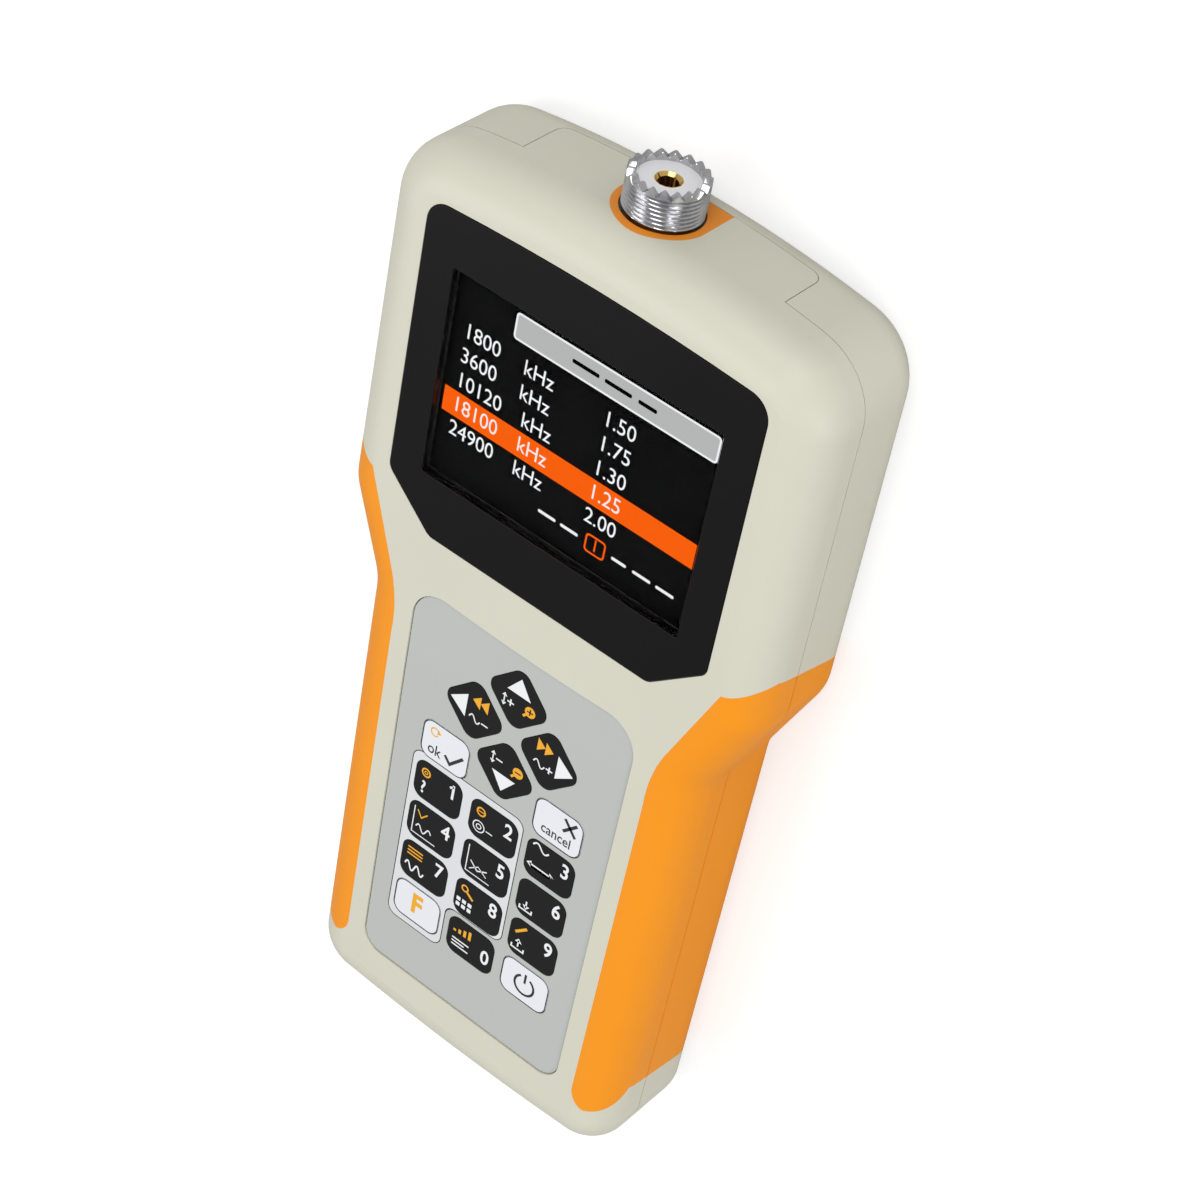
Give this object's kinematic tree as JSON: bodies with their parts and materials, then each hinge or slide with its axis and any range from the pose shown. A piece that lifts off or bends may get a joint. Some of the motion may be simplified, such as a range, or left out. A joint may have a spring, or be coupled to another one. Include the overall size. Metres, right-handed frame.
{
  "type": "antenna analyzer",
  "caption": "Hand-held antenna analyzer: waisted two-tone case, soft side grips, colour display, film keypad, threaded coaxial socket on the top end, battery bay in the handle.",
  "frame": {"origin": "on the back plane, under the middle of the whole length", "axes": "+Z out of the display, +Y towards the coaxial socket, +X to the right as the display is read"},
  "size_m": [0.1052, 0.23, 0.0327],
  "materials": {
    "case_beige": "fine spark texture",
    "soft_orange": "soft-touch, matt",
    "trim_orange": "satin",
    "window_black": "glossy, clear field over the display",
    "screen": "lit colour display",
    "frame_metal": "stamped",
    "foam_black": "cellular",
    "ribbon_amber": "film",
    "film_grey": "fine matt film",
    "film_clear": "film",
    "pad_carbon": "printed carbon",
    "header_white": "moulded",
    "key_white": "printed film, satin",
    "key_black": "printed film, satin",
    "plated_nickel": "nickel plate, slightly dull",
    "insulator_white": "waxy",
    "contact_gold": "gold plate",
    "bracket_steel": "tinned sheet",
    "screw_steel": "zinc plate",
    "board_green": "glass-fibre board with solder mask",
    "plastic_black": "moulded",
    "data_white": "moulded",
    "cell_wrap": "plain wrapper"
  },
  "bodies": {
    "case": {"battery_plates": "bracket_steel", "battery_springs": "bracket_steel", "board_screws": "screw_steel", "case_screws": "screw_steel", "cell_1": "cell_wrap", "cell_2": "cell_wrap", "cell_3": "cell_wrap", "data_insert": "data_white", "data_socket": "bracket_steel", "display_cushion": "foam_black", "display_frame": "frame_metal", "display_header": "header_white", "display_panel": "screen", "display_ribbon": "ribbon_amber", "display_window": "window_black", "flange_screws": "screw_steel", "front_shell": "case_beige", "grip_left_front": "soft_orange", "grip_left_rear": "soft_orange", "grip_right_front": "soft_orange", "grip_right_rear": "soft_orange", "keypad_circuit": "film_clear", "keypad_contacts": "pad_carbon", "keypad_header": "header_white", "keypad_overlay": "film_grey", "keypad_spacer": "film_clear", "main_board": "board_green", "rear_shell": "case_beige", "shield_can": "bracket_steel", "socket_body": "plated_nickel", "socket_bracket": "bracket_steel", "socket_contact": "contact_gold", "socket_insulator": "insulator_white", "socket_surround": "trim_orange", "sounder": "plastic_black"},
    "cover": {"battery_cover": "case_beige"},
    "key_0": {"key_0": "key_black"},
    "key_1": {"key_1": "key_black"},
    "key_2": {"key_2": "key_black"},
    "key_3": {"key_3": "key_black"},
    "key_4": {"key_4": "key_black"},
    "key_5": {"key_5": "key_black"},
    "key_6": {"key_6": "key_black"},
    "key_7": {"key_7": "key_black"},
    "key_8": {"key_8": "key_black"},
    "key_9": {"key_9": "key_black"},
    "key_cancel": {"key_cancel": "key_white"},
    "key_down": {"key_down": "key_black"},
    "key_function": {"key_function": "key_white"},
    "key_left": {"key_left": "key_black"},
    "key_ok": {"key_ok": "key_white"},
    "key_power": {"key_power": "key_white"},
    "key_right": {"key_right": "key_black"},
    "key_up": {"key_up": "key_black"}
  },
  "joints": [
    {"name": "press_0", "type": "slide", "parent": "case", "child": "key_0", "axis": [0, 0, -1], "range_m": [0, 0.00028], "stiffness_N_per_m": 500, "springref_m": -0.0006},
    {"name": "press_1", "type": "slide", "parent": "case", "child": "key_1", "axis": [0, 0, -1], "range_m": [0, 0.00028], "stiffness_N_per_m": 500, "springref_m": -0.0006},
    {"name": "press_2", "type": "slide", "parent": "case", "child": "key_2", "axis": [0, 0, -1], "range_m": [0, 0.00028], "stiffness_N_per_m": 500, "springref_m": -0.0006},
    {"name": "press_3", "type": "slide", "parent": "case", "child": "key_3", "axis": [0, 0, -1], "range_m": [0, 0.00028], "stiffness_N_per_m": 500, "springref_m": -0.0006},
    {"name": "press_4", "type": "slide", "parent": "case", "child": "key_4", "axis": [0, 0, -1], "range_m": [0, 0.00028], "stiffness_N_per_m": 500, "springref_m": -0.0006},
    {"name": "press_5", "type": "slide", "parent": "case", "child": "key_5", "axis": [0, 0, -1], "range_m": [0, 0.00028], "stiffness_N_per_m": 500, "springref_m": -0.0006},
    {"name": "press_6", "type": "slide", "parent": "case", "child": "key_6", "axis": [0, 0, -1], "range_m": [0, 0.00028], "stiffness_N_per_m": 500, "springref_m": -0.0006},
    {"name": "press_7", "type": "slide", "parent": "case", "child": "key_7", "axis": [0, 0, -1], "range_m": [0, 0.00028], "stiffness_N_per_m": 500, "springref_m": -0.0006},
    {"name": "press_8", "type": "slide", "parent": "case", "child": "key_8", "axis": [0, 0, -1], "range_m": [0, 0.00028], "stiffness_N_per_m": 500, "springref_m": -0.0006},
    {"name": "press_9", "type": "slide", "parent": "case", "child": "key_9", "axis": [0, 0, -1], "range_m": [0, 0.00028], "stiffness_N_per_m": 500, "springref_m": -0.0006},
    {"name": "press_cancel", "type": "slide", "parent": "case", "child": "key_cancel", "axis": [0, 0, -1], "range_m": [0, 0.00028], "stiffness_N_per_m": 500, "springref_m": -0.0006},
    {"name": "press_down", "type": "slide", "parent": "case", "child": "key_down", "axis": [0, 0, -1], "range_m": [0, 0.00028], "stiffness_N_per_m": 500, "springref_m": -0.0006},
    {"name": "press_function", "type": "slide", "parent": "case", "child": "key_function", "axis": [0, 0, -1], "range_m": [0, 0.00028], "stiffness_N_per_m": 500, "springref_m": -0.0006},
    {"name": "press_left", "type": "slide", "parent": "case", "child": "key_left", "axis": [0, 0, -1], "range_m": [0, 0.00028], "stiffness_N_per_m": 500, "springref_m": -0.0006},
    {"name": "press_ok", "type": "slide", "parent": "case", "child": "key_ok", "axis": [0, 0, -1], "range_m": [0, 0.00028], "stiffness_N_per_m": 500, "springref_m": -0.0006},
    {"name": "press_power", "type": "slide", "parent": "case", "child": "key_power", "axis": [0, 0, -1], "range_m": [0, 0.00028], "stiffness_N_per_m": 500, "springref_m": -0.0006},
    {"name": "press_right", "type": "slide", "parent": "case", "child": "key_right", "axis": [0, 0, -1], "range_m": [0, 0.00028], "stiffness_N_per_m": 500, "springref_m": -0.0006},
    {"name": "press_up", "type": "slide", "parent": "case", "child": "key_up", "axis": [0, 0, -1], "range_m": [0, 0.00028], "stiffness_N_per_m": 500, "springref_m": -0.0006},
    {"name": "cover_lift", "type": "slide", "parent": "case", "child": "cover", "axis": [0, 0, -1], "range_m": [0, 0.03]}
  ]
}
